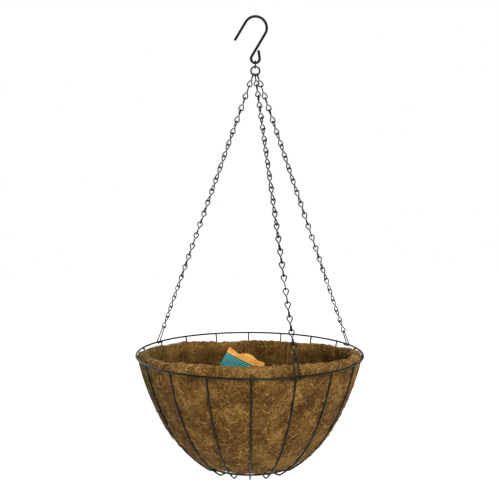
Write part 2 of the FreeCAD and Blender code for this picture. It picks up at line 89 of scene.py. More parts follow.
def plain_material(name, colour, roughness):
    material = bpy.data.materials.new(name)
    material.use_nodes = True
    shader = material.node_tree.nodes["Principled BSDF"]
    shader.inputs["Base Color"].default_value = (*colour, 1)
    shader.inputs["Roughness"].default_value = roughness
    return material


floor_half = 12.0
floor_level = float(cad_bounds[0].z) - 0.8
floor_mesh = bpy.data.meshes.new("floor")
floor_mesh.from_pydata([(-floor_half, -floor_half, floor_level), (floor_half, -floor_half, floor_level),
                        (floor_half, floor_half, floor_level), (-floor_half, floor_half, floor_level)],
                       [], [(0, 1, 2, 3)])
floor_mesh.materials.append(plain_material("floor", (0.93, 0.93, 0.925), 0.9))
floor = bpy.data.objects.new("floor", floor_mesh)
bpy.context.scene.collection.objects.link(floor)

sky = bpy.data.worlds.new("sky")
sky.use_nodes = True
sky_nodes, sky_links = sky.node_tree.nodes, sky.node_tree.links
sky_nodes["Background"].inputs["Strength"].default_value = 0.36
white = sky_nodes.new("ShaderNodeBackground")
white.inputs["Color"].default_value = (1, 1, 1, 1)
seen = sky_nodes.new("ShaderNodeLightPath")
either = sky_nodes.new("ShaderNodeMixShader")
sky_nodes["Background"].inputs["Color"].default_value = (1, 1, 1, 1)
sky_links.new(seen.outputs["Is Camera Ray"], either.inputs["Fac"])
sky_links.new(sky_nodes["Background"].outputs["Background"], either.inputs[1])
sky_links.new(white.outputs["Background"], either.inputs[2])
sky_links.new(either.outputs["Shader"], sky_nodes["World Output"].inputs["Surface"])
bpy.context.scene.world = sky


def soft_light(name, kind, place, target, size, strength):
    """A sun or a square area light at place, facing target."""
    lamp = bpy.data.lights.new(name, kind)
    lamp.energy = strength
    if kind == "SUN":
        lamp.angle = size
    else:
        lamp.size = size
    holder = bpy.data.objects.new(name, lamp)
    holder.location = place
    holder.rotation_mode = "QUATERNION"
    holder.rotation_quaternion = (Vector(target) - Vector(place)).to_track_quat("-Z", "Y")
    bpy.context.scene.collection.objects.link(holder)


basket_middle = tuple(rim_centre + np.array((0, 0, -0.06)))
soft_light("high_sun", "SUN", (0.55, -1.6, 0.9), basket_middle, math.radians(28), 3.85)
soft_light("back_sun", "SUN", (-0.7, 1.6, 0.8), basket_middle, math.radians(40), 1.5)
soft_light("front_light", "AREA", (0.12, -1.5, -0.1), basket_middle, 0.25, 4)


# The bowl frame is welded from round steel wire: a rim ring, eighteen ribs whose tops
# are welded inside it, and a base ring inside the ribs, a little above their turned-in
# ends.  All of it is dipped in a dark green-black coating with a soft gloss.
basket_x, basket_y = rim_centre[:2]
rim_wire = (rim_high.z - rim_low.z) / 2
rim_radius = (rim_high.x - rim_low.x) / 2 - rim_wire
rib_count, rib_phase = 18, math.radians(0.5)
rib_wire = 1.1 * MM
rib_top_radius = rim_radius - rim_wire - rib_wire + 0.1 * MM
rib_slope = math.radians(11)
rib_bends = ((297 * MM, math.radians(19)), (183 * MM, math.radians(25)), (8 * MM, math.radians(35)))
rib_foot = 6 * MM
rib_azimuths = rib_phase + np.arange(rib_count) * 2 * math.pi / rib_count
rib_outward = np.stack([np.sin(rib_azimuths), -np.cos(rib_azimuths), np.zeros(rib_count)], axis=-1)


def wire_rings(paths, radius, across, sides, closed):
    """Round wires along centre lines: paths is wires x points x 3.

    point(p, a) = path(p) + radius (cos a N + sin a B), with N = T x across, B = T x N.
    radius is one number, or one for each wire and point.
    """
    if closed:
        ahead = np.roll(paths, -1, axis=1) - np.roll(paths, 1, axis=1)
    else:
        ahead = np.gradient(paths, axis=1)
    along = ahead / np.linalg.norm(ahead, axis=2, keepdims=True)
    first = np.cross(along, across)
    first /= np.linalg.norm(first, axis=2, keepdims=True)
    second = np.cross(along, first)
    angle = np.linspace(0, 2 * np.pi, sides, endpoint=False)[:, None]
    ring = first[:, :, None] * np.cos(angle) + second[:, :, None] * np.sin(angle)
    thick = np.asarray(radius)
    if thick.ndim == 2:
        thick = thick[:, :, None, None]
    return paths[:, :, None] + ring * thick, along


def wire_mesh(name, paths, radius, across=(0, 0, 1), sides=12, closed=False, tint=None):
    """Closes the rings of wire_rings into tubes; an open wire gets a low dome at each end.

    A tip stands 0.6 radius past the last ring.  tint gives each open wire a number from 0 to 1.
    """
    paths = np.asarray(paths, float)
    rings, along = wire_rings(paths, radius, np.asarray(across, float), sides, closed)
    wires, points = paths.shape[:2]
    index = np.arange(wires * points * sides).reshape(wires, points, sides)
    turned = np.roll(index, -1, axis=2)
    if closed:
        after, after_turned = np.roll(index, -1, axis=1), np.roll(turned, -1, axis=1)
        here, here_turned = index, turned
    else:
        here, here_turned = index[:, :-1], turned[:, :-1]
        after, after_turned = index[:, 1:], turned[:, 1:]
    quads = np.stack([here, here_turned, after_turned, after], axis=-1).reshape(-1, 4)
    vertices = rings.reshape(-1, 3)
    faces = quads.tolist()
    if not closed:
        reach = np.linalg.norm(rings[:, 0, 0] - paths[:, 0], axis=1)[:, None] * 0.6
        tips = np.stack([paths[:, 0] - along[:, 0] * reach, paths[:, -1] + along[:, -1] * reach], axis=1)
        start = wires * points * sides
        tip = start + np.arange(wires * 2).reshape(wires, 2, 1)
        vertices = np.concatenate([vertices, tips.reshape(-1, 3)])
        low = np.stack([np.broadcast_to(tip[:, 0], (wires, sides)), turned[:, 0], index[:, 0]], axis=-1)
        high = np.stack([np.broadcast_to(tip[:, 1], (wires, sides)), index[:, -1], turned[:, -1]], axis=-1)
        faces += low.reshape(-1, 3).tolist() + high.reshape(-1, 3).tolist()
    mesh = bpy.data.meshes.new(name)
    mesh.from_pydata(vertices.tolist(), [], faces)
    mesh.shade_smooth()
    if tint is not None:
        values = np.concatenate([np.repeat(tint, points * sides), np.repeat(tint, 2)])
        mesh.attributes.new("tint", "FLOAT", "POINT").data.foreach_set("value", values.astype(np.float32))
    return mesh


def add_piece(mesh, material, slot, body, *nodes):
    """Puts a finished mesh in the scene on its body, in place of the CAD nodes it stands for."""
    piece = bpy.data.objects.new(mesh.name, mesh)
    mesh.materials.append(material)
    bpy.context.scene.collection.objects.link(piece)
    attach(piece, body)
    if nodes:
        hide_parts(*nodes)


def coated_wire(name, coat, worn, roughness, wear):
    """A dipped coating: a soft mottle in colour and gloss, thin worn streaks and orange-peel bumps."""
    material = bpy.data.materials.new(name)
    material.use_nodes = True
    nodes, links = material.node_tree.nodes, material.node_tree.links
    shader = nodes["Principled BSDF"]
    place = nodes.new("ShaderNodeTexCoord")
    mottle = nodes.new("ShaderNodeTexNoise")
    mottle.inputs["Scale"].default_value = 90
    mottle.inputs["Detail"].default_value = 5
    links.new(place.outputs["Object"], mottle.inputs["Vector"])
    fine = nodes.new("ShaderNodeTexNoise")
    fine.inputs["Scale"].default_value = 620
    fine.inputs["Detail"].default_value = 3
    links.new(place.outputs["Object"], fine.inputs["Vector"])
    ramp = nodes.new("ShaderNodeValToRGB")
    ramp.color_ramp.elements[0].position = 0.42
    ramp.color_ramp.elements[0].color = (*coat, 1)
    ramp.color_ramp.elements[1].position = 1 - wear
    ramp.color_ramp.elements[1].color = (*worn, 1)
    links.new(mottle.outputs["Fac"], ramp.inputs["Fac"])
    links.new(ramp.outputs["Color"], shader.inputs["Base Color"])
    gloss = nodes.new("ShaderNodeMapRange")
    gloss.inputs["From Min"].default_value = 0.3
    gloss.inputs["From Max"].default_value = 0.7
    gloss.inputs["To Min"].default_value = roughness - 0.1
    gloss.inputs["To Max"].default_value = roughness + 0.14
    links.new(fine.outputs["Fac"], gloss.inputs["Value"])
    links.new(gloss.outputs["Result"], shader.inputs["Roughness"])
    bump = nodes.new("ShaderNodeBump")
    bump.inputs["Strength"].default_value = 0.25
    bump.inputs["Distance"].default_value = 0.12 * MM
    links.new(fine.outputs["Fac"], bump.inputs["Height"])
    links.new(bump.outputs["Normal"], shader.inputs["Normal"])
    shader.inputs["Specular IOR Level"].default_value = 0.14
    return material


frame_coat = coated_wire("frame_coat", (0.0022, 0.0032, 0.0025), (0.010, 0.014, 0.008), 0.34, 0.22)


def round_ring(radius, centre, points=288):
    """A circle: centre + radius (cos a, sin a, 0)."""
    angle = np.linspace(0, 2 * np.pi, points, endpoint=False)
    ring = np.stack([np.cos(angle), np.sin(angle), np.zeros(points)], axis=-1) * radius
    return (ring + np.asarray(centre))[None]


def rib_profile(inset, points=24):
    """Bends from the rim down: each is R(cos t0 - cos t, sin t0 - sin t) in radius and height.

    inset moves the line off the rib's centre line towards the inside of the bowl.
    """
    radius = rib_top_radius - inset * math.cos(rib_slope)
    height = inset * math.sin(rib_slope)
    angle, line = rib_slope, []
    for bend, sweep in rib_bends:
        turn = angle + np.linspace(0, sweep, points)
        reach = bend - inset
        line.append(np.stack([radius - reach * (math.cos(angle) - np.cos(turn)),
                              height - reach * (np.sin(turn) - math.sin(angle))], axis=-1))
        radius, height = line[-1][-1]
        angle += sweep
    return line


rib_curve = rib_profile(0)
foot_line = rib_curve[-1][-1] - np.linspace(0, rib_foot, 5)[:, None] * np.array((1, 0))
rib_line = np.concatenate([*(bend[:-1] for bend in rib_curve), foot_line])
base_low, base_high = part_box("base_ring")
base_wire = (base_high.z - base_low.z) / 2
base_radius = (base_high.x - base_low.x) / 2 - base_wire
base_level = (base_low.z + base_high.z) / 2

add_piece(wire_mesh("rim_wire_ring", round_ring(rim_radius, rim_centre), rim_wire, sides=16, closed=True),
          frame_coat, "coated_wire", "basket", "rim_ring")
add_piece(wire_mesh("base_wire_ring", round_ring(base_radius, (basket_x, basket_y, base_level), 144),
                    base_wire, sides=16, closed=True),
          frame_coat, "coated_wire", "basket", "base_ring")
for number, (azimuth, outward) in enumerate(zip(rib_azimuths, rib_outward), 1):
    path = rim_centre + rib_line[:, :1] * outward + rib_line[:, 1:] * np.array((0, 0, 1))
    sideways = (math.cos(azimuth), math.sin(azimuth), 0)
    add_piece(wire_mesh("rib_wire_%02d" % number, path[None], rib_wire, sideways),
              frame_coat, "coated_wire", "basket", "rib_%02d" % number)


# Each rib is resistance-welded to both rings, which leaves a small flattened nugget
# of metal under the coating at every crossing.
def weld_nuggets(name, centres, size, seed):
    """Lumpy ellipsoids: size x (cos v cos u, cos v sin u, sin v) x (1 + lumps)."""
    columns, rows = 10, 5
    u = np.linspace(0, 2 * np.pi, columns, endpoint=False)
    v = np.linspace(-np.pi / 2, np.pi / 2, rows + 2)[1:-1]
    ball = np.stack([np.outer(np.cos(v), np.cos(u)), np.outer(np.cos(v), np.sin(u)),
                     np.outer(np.sin(v), np.ones(columns))], axis=-1).reshape(-1, 3)
    ball = np.concatenate([ball, [(0, 0, -1), (0, 0, 1)]])
    swell = 1 + np.random.default_rng(seed).normal(0, 0.09, (len(centres), len(ball), 1))
    vertices = np.asarray(centres)[:, None] + ball * np.asarray(size) * swell
    index = np.arange(rows * columns).reshape(rows, columns)
    turned = np.roll(index, -1, axis=1)
    sides = np.stack([index[:-1], turned[:-1], turned[1:], index[1:]], axis=-1).reshape(-1, 4)
    low = np.stack([np.full(columns, index.size), turned[0], index[0]], axis=-1)
    high = np.stack([np.full(columns, index.size + 1), index[-1], turned[-1]], axis=-1)
    steps = np.arange(len(centres))[:, None, None] * len(ball)
    mesh = bpy.data.meshes.new(name)
    faces = (steps + sides).reshape(-1, 4).tolist()
    faces += (steps + low).reshape(-1, 3).tolist() + (steps + high).reshape(-1, 3).tolist()
    mesh.from_pydata(vertices.reshape(-1, 3).tolist(), [], faces)
    mesh.shade_smooth()
    return mesh


rim_welds = rim_centre + rib_outward * (rim_radius - rim_wire) + np.array((0, 0, -0.3 * MM))
base_weld_radius, base_weld_level = base_radius + 0.75 * MM, base_level - 0.95 * MM
base_welds = np.array((basket_x, basket_y, base_weld_level)) + rib_outward * base_weld_radius
nugget = np.array((1.7, 1.7, 1.5)) * MM
add_piece(weld_nuggets("rim_welds", rim_welds, nugget, 3), frame_coat, "coated_wire", "basket")
add_piece(weld_nuggets("base_welds", base_welds, nugget, 4), frame_coat, "coated_wire", "basket")


# The hook, the small link under it and the gathering ring are bent from heavier wire
# of the same coating; their bent shapes are exact already, so they only take a finish.
hook_coat = coated_wire("hook_coat", (0.0012, 0.0015, 0.0015), (0.006, 0.007, 0.006), 0.34, 0.25)
for node_name in ("hook", "top_link", "gather_ring"):
    node = frame["nodes"][node_name]
    node.data.materials.clear()
    node.data.materials.append(hook_coat)


# Three chains of single jack links run from the gathering ring to the clips.  Each link
# is one wire: a loop, a quarter turn at the neck, and a second loop square to the first.
chain_wire = 0.8 * MM
link_half = 9.125 * MM
loop_half = 2.75 * MM
neck_half = 1.0 * MM
loop_peak = 0.702
link_pitch = 16.5 * MM
first_top = -2.05 * MM
chain_links, links_each = 23, 8
ring_wire = 1.1 * MM
ring_low, ring_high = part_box("gather_ring")
gather_centre = np.array((ring_low + ring_high) / 2)
gather_radius = (ring_high.x - ring_low.x) / 2 - ring_wire
# Each chain's angle on the gathering ring, azimuth on the rim, and half turns of twist.
chain_ends = {"front": (0, 20.5, 0), "right": (30, 112.5, -1), "left": (-30, -119.5, 0)}
joint_places = {joint["name"]: np.array(joint["pos_m"]) for joint in frame["joints"]}
joint_axes = {joint["name"]: np.array(joint["axis"], float) for joint in frame["joints"]}
chain_coat = coated_wire("chain_coat", (0.0018, 0.0022, 0.0018), (0.012, 0.013, 0.009), 0.30, 0.30)


def jack_link(points=26):
    """The centre line of one link, z along the chain.

    A loop is x = w sin t sin(t/2)^1.5 / peak + n cos(t/2), z = z0 + (half - z0)(1 - cos t)/2,
    where peak is the greatest value of sin t sin(t/2)^1.5, so w is the loop's half width.
    A quarter turn of radius n about the neck leads to the second loop.
    """
    t = np.linspace(0, 2 * np.pi, points)
    out = loop_half * np.sin(t) * np.abs(np.sin(t / 2)) ** 1.5 / loop_peak + chain_wire * np.cos(t / 2)
    up = neck_half + (link_half - neck_half) * (1 - np.cos(t)) / 2
    turn = np.pi * (1 + np.linspace(0, 0.5, 7)[1:-1])
    neck = np.stack([chain_wire * np.cos(turn), chain_wire * np.sin(turn),
                     np.linspace(neck_half, -neck_half, 7)[1:-1]], axis=-1)
    upper = np.stack([out, 0 * t, up], axis=-1)
    lower = np.stack([0 * t, -out, -up], axis=-1)
    return np.concatenate([upper, neck, lower])


link_line = jack_link()
chain_frames = {}
for chain_name, (ring_angle, rim_azimuth, half_turns) in chain_ends.items():
    ring_angle = math.radians(ring_angle)
    start = gather_centre + gather_radius * np.array((math.sin(ring_angle), 0, -math.cos(ring_angle)))
    down = joint_places[chain_name + "_clip_swing"] - start
    clip_top = np.linalg.norm(down)
    down /= clip_top
    tangent = -joint_axes[chain_name + "_clip_swing"]
    outward = np.cross(down, tangent)
    chain_frames[chain_name] = (start, down, tangent, outward, clip_top, rim_azimuth)
    ring_along = np.array((math.cos(ring_angle), 0, math.sin(ring_angle)))
    across = math.degrees(math.atan2(ring_along @ outward, ring_along @ tangent))
    first_turn = math.radians((across + 90) % 180 + 180 * half_turns)
    for segment in range(3):
        number = np.arange(segment * links_each + 1, min((segment + 1) * links_each, chain_links) + 1)
        turn = (first_turn * (chain_links - number) / (chain_links - 1))[:, None]
        side_x = np.cos(turn) * tangent + np.sin(turn) * outward
        side_y = np.cross(-down, side_x)
        middle = start + down * (first_top + (number - 1) * link_pitch + link_half)[:, None]
        paths = (middle[:, None] + link_line[:, :1] * side_x[:, None]
                 + link_line[:, 1:2] * side_y[:, None] - link_line[:, 2:] * down)
        body = "%s_chain_%d" % (chain_name, segment + 1)
        add_piece(wire_mesh(body + "_links", paths, chain_wire, (side_x + side_y)[:, None], 10),
                  chain_coat, "chain_wire", body, body)


# Each chain ends in a hairpin clip: the last link rides in its bend, and its two legs
# curl under the rim wire and up behind it.
clip_wire, clip_bend, clip_spread = 0.8 * MM, 2.3 * MM, math.radians(3)
curl_radius = rim_wire + clip_wire + 0.15 * MM
curl_sweep = 205


def clip_line(reach):
    """Half a hairpin as (across, outward, along): bend, straight leg and curl, then mirrored.

    reach is the distance from the bend's crown to the rim wire's centre, along the chain.
    """
    bend = np.linspace(0, np.pi / 2 - clip_spread, 9)
    crown = np.stack([clip_bend * np.sin(bend), np.full(9, curl_radius),
                      clip_bend * (1 - np.cos(bend))], axis=-1)
    run = np.linspace(0, 1, 12)[1:, None]
    ankle = crown[-1] + np.array((math.tan(clip_spread), 0, 1)) * (reach - crown[-1, 2])
    leg = crown[-1] + (ankle - crown[-1]) * run
    curl = np.radians(np.linspace(0, curl_sweep, 20)[1:])
    foot = np.stack([np.full(19, ankle[0]), curl_radius * np.cos(curl),
                     reach + curl_radius * np.sin(curl)], axis=-1)
    half = np.concatenate([crown, leg, foot])
    return np.concatenate([half[:0:-1] * np.array((-1, 1, 1)), half])


for chain_name, (start, down, tangent, outward, clip_top, rim_azimuth) in chain_frames.items():
    rim_azimuth = math.radians(rim_azimuth)
    hooked = rim_centre + rim_radius * np.array((math.sin(rim_azimuth), -math.cos(rim_azimuth), 0))
    line = clip_line((hooked - start) @ down - clip_top)
    base = hooked + down * (start + down * clip_top - hooked).dot(down)
    path = base + line[:, :1] * tangent + line[:, 1:2] * outward + line[:, 2:] * down
    across = tangent + outward * 0.02
    add_piece(wire_mesh(chain_name + "_clip_wire", path[None], clip_wire, across, 12),
              chain_coat, "chain_wire", chain_name + "_clip", chain_name + "_clip")


# The liner is a flat felt of coconut fibre bound with latex, pressed into the bowl.  It
# bulges between the ribs, its cut edge stands above the rim in front and sags behind.
wall_half = 4.75 * MM
wall_inset = rib_wire + 0.3 * MM + wall_half
floor_sink, floor_reach = 1.3 * MM, 68 * MM
lip_tilt, lip_reach, lip_dome = math.tan(math.radians(4.2)), 13 * MM, 2.6 * MM


def liner_section():
    """The wall's middle line from the floor's centre to above the lip, with its directions.

    Two bends parallel to the ribs, a flat floor and an inward-leaning lip, rounded together.
    """
    upper, lower = rib_profile(wall_inset, 60)[:2]
    wall = np.concatenate([upper, lower[1:]])[::-1]
    floor_height = base_level - rim_centre[2] + base_wire - floor_sink + wall_half
    wall = wall[wall[:, 1] > floor_height]
    floor_end = np.array((wall[0, 0] - 0.4 * MM, floor_height))
    lip_end = wall[-1] + np.array((-0.07, 1)) * 20 * MM
    line = np.concatenate([[(-20 * MM, floor_height), floor_end], wall, [lip_end]])
    length = np.concatenate([[0], np.cumsum(np.linalg.norm(np.diff(line, axis=0), axis=1))])
    even = np.arange(0, length[-1], 0.5 * MM)
    kernel = np.exp(-np.linspace(-2.5, 2.5, 21) ** 2 / 2)
    kernel /= kernel.sum()
    line = np.stack([np.convolve(np.interp(even, length, part), kernel, "valid") for part in line.T], axis=-1)
    line = line[line[:, 0] >= 0]
    line[0, 0] = 0
    length = np.concatenate([[0], np.cumsum(np.linalg.norm(np.diff(line, axis=0), axis=1))])
    along = np.gradient(line, axis=0)
    along /= np.linalg.norm(along, axis=1, keepdims=True)
    return length, line, along


section_length, section_line, section_along = liner_section()


def lumps(place, seed, shortest, longest, waves=32):
    """Smooth noise of about unit size: sines along random directions with random lengths."""
    rng = np.random.default_rng(seed)
    direction = rng.normal(size=(waves, 3))
    direction /= np.linalg.norm(direction, axis=1, keepdims=True)
    length = shortest * (longest / shortest) ** rng.random(waves)
    turns = place @ (direction / length[:, None]).T + rng.random(waves)
    return np.sin(2 * np.pi * turns).sum(axis=-1) * math.sqrt(2 / waves)


def liner_point(azimuth, share, lift=0.0):
    """A point of the liner's skin, lifted off it, with the skin's direction there.

    share runs 0 to 1 from the outside of the floor up over the lip to the inside of the floor.
    point = middle line + (N side + T cap) x half thickness, pushed out by bulges and lumps.
    """
    azimuth, share = np.broadcast_arrays(azimuth, share)
    around = np.stack([np.sin(azimuth), -np.cos(azimuth), 0 * azimuth], axis=-1)
    wave = lumps(around, 11, 0.35, 2.2) * 1.5 * MM + lumps(around, 12, 0.05, 0.2) * 0.45 * MM
    edge = rim_radius * lip_tilt * np.cos(azimuth) - 2.4 * MM + wave
    top = np.interp(edge, section_line[:, 1], section_length)
    run = share * (2 * top + lip_reach)
    height = np.clip(np.minimum(run, 2 * top + lip_reach - run), 0, top)
    turn = np.pi * np.clip((run - top) / lip_reach, 0, 1)
    radius = np.interp(height, section_length, section_line[:, 0])
    level = np.interp(height, section_length, section_line[:, 1])
    along_r = np.interp(height, section_length, section_along[:, 0])
    along_z = np.interp(height, section_length, section_along[:, 1])
    side, cap = np.cos(turn), np.sin(turn)
    flat_side = np.sign(side) * np.abs(side) ** 0.6
    outer = (1 + side) / 2
    plain = np.stack([around[..., 0] * radius, around[..., 1] * radius, level], axis=-1)
    held = np.clip((height - 12 * MM) / (50 * MM), 0, 1) * np.clip((2 * MM - level) / (14 * MM), 0, 1)
    bulge = (np.abs(np.sin(rib_count / 2 * (azimuth - rib_phase))) ** 0.8 * 2.0 - 0.3) * MM * held
    rough = lumps(plain, 21, 14 * MM, 60 * MM) * 0.7 * MM + lumps(plain, 22, 4 * MM, 12 * MM) * 0.22 * MM
    loose = lumps(plain, 23, 20 * MM, 80 * MM) * 1.0 * MM + lumps(plain, 24, 4 * MM, 14 * MM) * 0.35 * MM
    fold = np.exp(-((azimuth - math.radians(152.5)) * radius / (1.3 * MM)) ** 2)
    fold += 0.8 * np.exp(-((azimuth - math.radians(155.5)) * radius / (1.6 * MM)) ** 2)
    fold *= np.clip((level + 55 * MM) / (30 * MM), 0, 1) * 4.5 * MM
    fade = np.clip(radius / (12 * MM), 0, 1)
    corner = np.exp(-((height - floor_reach) / (13 * MM)) ** 2) * 2 * MM
    push = (wall_half + (outer * (bulge + np.clip(rough, -1 * MM, 0.25 * MM) - corner)
                         + (1 - outer) * (loose - fold)) * fade)
    reach_r = along_z * flat_side * push + along_r * cap * lip_dome
    reach_z = -along_r * flat_side * push + along_z * cap * lip_dome
    facing_r, facing_z = along_z * side + along_r * cap, -along_r * side + along_z * cap
    out_r, out_z = reach_r + facing_r * lift, reach_z + facing_z * lift
    flat = radius + out_r
    point = rim_centre + np.stack([around[..., 0] * flat, around[..., 1] * flat, level + out_z], axis=-1)
    facing = np.stack([around[..., 0] * facing_r, around[..., 1] * facing_r, facing_z], axis=-1)
    return point, facing, flat


def liner_mesh(columns=864, rows=112):
    """The skin as a grid in azimuth and share, rows crowded at the lip, closed at both floor centres."""
    azimuth = np.linspace(0, 2 * np.pi, columns, endpoint=False)
    spread = np.linspace(-1, 1, rows)
    share = 0.5 + 0.5 * np.sign(spread) * np.abs(spread) ** 1.6
    points = liner_point(azimuth, share[1:-1, None])[0]
    poles = [liner_point(np.zeros(1), share[i:i + 1])[0] for i in (0, rows - 1)]
    vertices = np.concatenate([points.reshape(-1, 3), *poles])
    index = np.arange((rows - 2) * columns).reshape(rows - 2, columns)
    turned = np.roll(index, -1, axis=1)
    quads = np.stack([index[:-1], turned[:-1], turned[1:], index[1:]], axis=-1).reshape(-1, 4)
    low = np.stack([np.full(columns, index.size), turned[0], index[0]], axis=-1)
    high = np.stack([np.full(columns, index.size + 1), index[-1], turned[-1]], axis=-1)
    mesh = bpy.data.meshes.new("coir_liner")
    mesh.from_pydata(vertices.tolist(), [], quads.tolist() + low.tolist() + high.tolist())
    mesh.shade_smooth()
    zone = np.concatenate([np.repeat(share[1:-1], columns), [0, 1]])
    mesh.attributes.new("share", "FLOAT", "POINT").data.foreach_set("value", zone.astype(np.float32))
    return mesh


def painted_olive_shade(nodes, links, place, colour):
    """Paints olive shade: mixes a dull green into a colour towards the -X side of the basket."""
    apart = nodes.new("ShaderNodeSeparateXYZ")
    links.new(place.outputs["Object"], apart.inputs["Vector"])
    olive_shade_weight = nodes.new("ShaderNodeMapRange")
    olive_shade_weight.inputs["From Min"].default_value = -0.115
    olive_shade_weight.inputs["From Max"].default_value = -0.150
    olive_shade_weight.inputs["To Max"].default_value = 0.5
    links.new(apart.outputs["X"], olive_shade_weight.inputs["Value"])
    tinged = nodes.new("ShaderNodeMix")
    tinged.data_type = "RGBA"
    tinged.inputs["B"].default_value = (0.045, 0.052, 0.010, 1)
    links.new(olive_shade_weight.outputs["Result"], tinged.inputs["Factor"])
    links.new(colour, tinged.inputs["A"])
    return tinged.outputs["Result"]


def coir_felt():
    """Matted brown felt: blotches, crossing curly strands drawn by distorted noise, dark pits, a painted
    highlight along the lip, painted shade inside the bowl and painted olive shade towards the -X side."""
    material = bpy.data.materials.new("coir_felt")
    material.use_nodes = True
    nodes, links = material.node_tree.nodes, material.node_tree.links
    shader = nodes["Principled BSDF"]
    place = nodes.new("ShaderNodeTexCoord")
    blotch = nodes.new("ShaderNodeTexNoise")
    blotch.inputs["Scale"].default_value = 38
    blotch.inputs["Detail"].default_value = 4
    links.new(place.outputs["Object"], blotch.inputs["Vector"])
    strands = []
    for turn, stretch in (((0.5, 0.3, 0.9), (1, 5, 2)),
                          ((-0.6, 0.8, 0.2), (4, 1, 3)),
                          ((0.9, -0.4, 1.4), (2, 4, 1))):
        mapping = nodes.new("ShaderNodeMapping")
        mapping.inputs["Rotation"].default_value = turn
        mapping.inputs["Scale"].default_value = stretch
        links.new(place.outputs["Object"], mapping.inputs["Vector"])
        noise = nodes.new("ShaderNodeTexNoise")
        noise.inputs["Scale"].default_value = 210
        noise.inputs["Detail"].default_value = 4
        noise.inputs["Distortion"].default_value = 1.6
        links.new(mapping.outputs["Vector"], noise.inputs["Vector"])
        strands.append(noise.outputs["Fac"])
    mixed = strands[0]
    for strand in strands[1:]:
        lighter = nodes.new("ShaderNodeMath")
        lighter.operation = "MAXIMUM"
        links.new(mixed, lighter.inputs[0])
        links.new(strand, lighter.inputs[1])
        mixed = lighter.outputs["Value"]
    weight = nodes.new("ShaderNodeMath")
    weight.operation = "MULTIPLY_ADD"
    weight.inputs[1].default_value = 0.55
    links.new(blotch.outputs["Fac"], weight.inputs[0])
    links.new(mixed, weight.inputs[2])
    ramp = nodes.new("ShaderNodeValToRGB")
    colours = ((0.62, (0.018, 0.0076, 0.0011)), (0.78, (0.061, 0.0276, 0.0045)),
               (0.92, (0.138, 0.067, 0.0135)), (1.0, (0.30, 0.168, 0.046)))
    ramp.color_ramp.elements[1].position = colours[-1][0]
    ramp.color_ramp.elements[1].color = (*colours[-1][1], 1)
    ramp.color_ramp.elements[0].position = colours[0][0]
    ramp.color_ramp.elements[0].color = (*colours[0][1], 1)
    for position, colour in colours[1:-1]:
        ramp.color_ramp.elements.new(position).color = (*colour, 1)
    links.new(weight.outputs["Value"], ramp.inputs["Fac"])
    # Painted light by the share across the skin: the cut lip is painted lighter as a highlight and the inside
    # of the bowl is painted darker as shade.
    zone = nodes.new("ShaderNodeAttribute")
    zone.attribute_name = "share"
    painted_lip_light_and_inner_shade = nodes.new("ShaderNodeValToRGB")
    painted_lip_light_and_inner_shade.color_ramp.elements[0].color = (1, 1, 1, 1)
    painted_lip_light_and_inner_shade.color_ramp.elements[0].position = 0.0
    for position, value in ((0.46, 1.0), (0.49, 1.35), (0.52, 1.25), (0.55, 0.62)):
        painted_lip_light_and_inner_shade.color_ramp.elements.new(position).color = (value, value, value, 1)
    painted_lip_light_and_inner_shade.color_ramp.elements[-1].color = (0.55, 0.50, 0.45, 1)
    links.new(zone.outputs["Fac"], painted_lip_light_and_inner_shade.inputs["Fac"])
    shade = nodes.new("ShaderNodeMix")
    shade.data_type = "RGBA"
    shade.blend_type = "MULTIPLY"
    shade.inputs["Factor"].default_value = 1
    links.new(ramp.outputs["Color"], shade.inputs["A"])
    links.new(painted_lip_light_and_inner_shade.outputs["Color"], shade.inputs["B"])
    # Painted olive shade towards the -X side of the basket.
    links.new(painted_olive_shade(nodes, links, place, shade.outputs["Result"]), shader.inputs["Base Color"])
    shader.inputs["Roughness"].default_value = 0.9
    shader.inputs["Specular IOR Level"].default_value = 0.1
    bump = nodes.new("ShaderNodeBump")
    bump.inputs["Strength"].default_value = 0.9
    bump.inputs["Distance"].default_value = 0.8 * MM
    links.new(mixed, bump.inputs["Height"])
    links.new(bump.outputs["Normal"], shader.inputs["Normal"])
    return material


add_piece(liner_mesh(), coir_felt(), "coir", "basket", "liner")


# Loose fibres stand out of the felt everywhere: short curls matted against the wall
# outside and inside, brighter ones along the cut lip as a painted highlight, darker ones inside as painted
# shade, and long loops under the base.
skin_run = 476 * MM


def fibre_mesh(name, seed, count, zone, length, thickness, lift, curl, tone_with_painted_light):
    """Curled strands on the liner: a walk over azimuth and share with a steady, random turn.

    lift rises and falls along each strand as a half sine, so its ends sink into the felt.
    length, thickness and lift are in millimetres.
    """
    length, thickness, lift = np.array(length) * MM, np.array(thickness) * MM, lift * MM
    rng = np.random.default_rng(seed)
    steps = 7
    table = np.linspace(*zone, 200)
    weight = np.cumsum(np.maximum(liner_point(0.0, table)[2], 4 * MM))
    share = np.interp(rng.random(count) * weight[-1], weight, table)[:, None]
    azimuth = 2 * np.pi * rng.random((count, 1))
    around = np.maximum(liner_point(azimuth, share)[2], 14 * MM)
    reach = rng.uniform(*length, (count, 1)) / (steps - 1)
    part = np.linspace(-0.5, 0.5, steps)
    heading = rng.uniform(0, 2 * np.pi, (count, 1)) + rng.normal(0, curl, (count, 1)) * part
    heading = heading + rng.normal(0, 0.3, (count, steps))
    azimuth = azimuth + np.cumsum(np.cos(heading) * reach / around, axis=1)
    share = share + np.cumsum(np.sin(heading) * reach / skin_run, axis=1)
    share = np.clip(share, 0.01, 0.99)
    arch = np.cos(np.pi * part) * rng.uniform(0.15, 1, (count, 1)) * lift - 0.15 * MM
    points, facing = liner_point(azimuth, share, arch)[:2]
    width = rng.uniform(*thickness, (count, 1)) * (0.55 + 0.45 * np.cos(np.pi * part))
    # Each fibre's tint scatters round its zone's tone, which carries the painted lip highlight and the
    # painted inner shade.
    tint = np.clip(rng.normal(tone_with_painted_light, 0.30, count), 0, 1)
    return wire_mesh(name, points, width, facing[:, steps // 2:steps // 2 + 1], 3, tint=tint)


